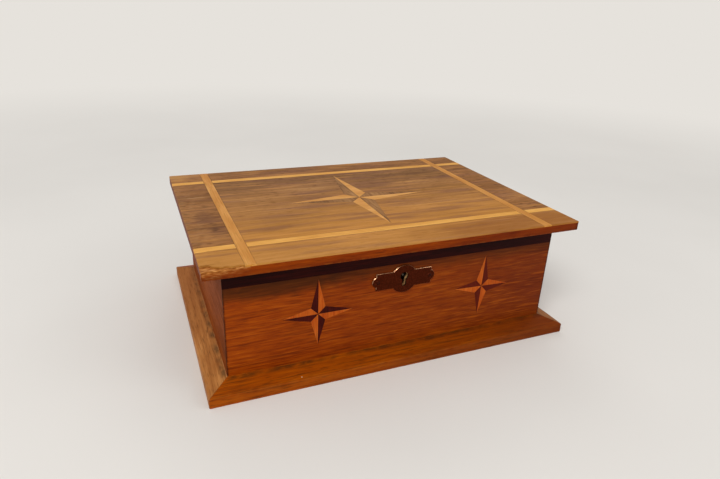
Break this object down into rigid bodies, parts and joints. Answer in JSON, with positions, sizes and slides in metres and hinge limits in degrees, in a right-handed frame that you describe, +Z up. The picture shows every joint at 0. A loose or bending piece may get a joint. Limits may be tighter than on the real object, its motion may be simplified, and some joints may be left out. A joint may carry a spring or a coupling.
{
  "type": "ditty box",
  "caption": "Flat wooden keepsake box with an overhanging hinged lid, a splayed plinth, inlaid compass stars and a box lock behind its escutcheon.",
  "frame": {"origin": "centre of the footprint, on the surface that the box stands on", "axes": "+X to the right along the front, +Y from the front to the hinges, +Z up; the escutcheon faces -Y"},
  "size_m": [0.3236, 0.233, 0.1105],
  "materials": {
    "front_wood": "satin",
    "wall_wood": "satin",
    "bottom_wood": "matte",
    "fillet_wood": "satin",
    "plinth_wood": "satin",
    "pale_wood": "satin",
    "dark_wood": "satin",
    "lid_wood": "satin",
    "lid_veneer": "satin",
    "lid_star_brown": "satin",
    "old_brass": "tarnished",
    "lock_brass": "brushed",
    "steel": "worn"
  },
  "bodies": {
    "case": {"front_wall": "front_wood", "back_wall": "wall_wood", "left_wall": "wall_wood", "right_wall": "wall_wood", "bottom_board": "bottom_wood", "front_fillet": "fillet_wood", "plinth_front": "plinth_wood", "plinth_back": "plinth_wood", "plinth_left": "plinth_wood", "plinth_right": "plinth_wood", "front_stars_pale": "pale_wood", "front_stars_dark": "dark_wood", "escutcheon": "old_brass", "escutcheon_pins": "old_brass", "lock_plate": "lock_brass", "lock_cap": "steel", "lock_drill_pin": "steel", "lock_guide_pins": "steel", "lock_spring": "steel", "lock_screws": "lock_brass", "hinge_case_leaf_left": "lock_brass", "hinge_case_leaf_right": "lock_brass", "hinge_case_screws": "lock_brass", "hinge_pin_left": "steel", "hinge_pin_right": "steel"},
    "lid": {"lid_board": "lid_wood", "lid_veneer_middle": "lid_veneer", "lid_veneer_border": "lid_veneer", "lid_cross_strips": "pale_wood", "lid_long_strips": "pale_wood", "lid_star_pale": "pale_wood", "lid_star_dark": "lid_star_brown", "link_plate": "lock_brass", "link_screws": "lock_brass", "hinge_lid_leaf_left": "lock_brass", "hinge_lid_leaf_right": "lock_brass", "hinge_lid_screws": "lock_brass"},
    "lock_bolt": {"lock_bolt": "lock_brass"}
  },
  "joints": [
    {"name": "lid_hinge", "type": "hinge", "parent": "case", "child": "lid", "pos_m": [0, 0.1029, 0.10235], "axis": [-1, 0, 0], "range_deg": [0, 104]},
    {"name": "bolt_slide", "type": "slide", "parent": "case", "child": "lock_bolt", "axis": [1, 0, 0], "range_m": [0, 0.005]}
  ]
}
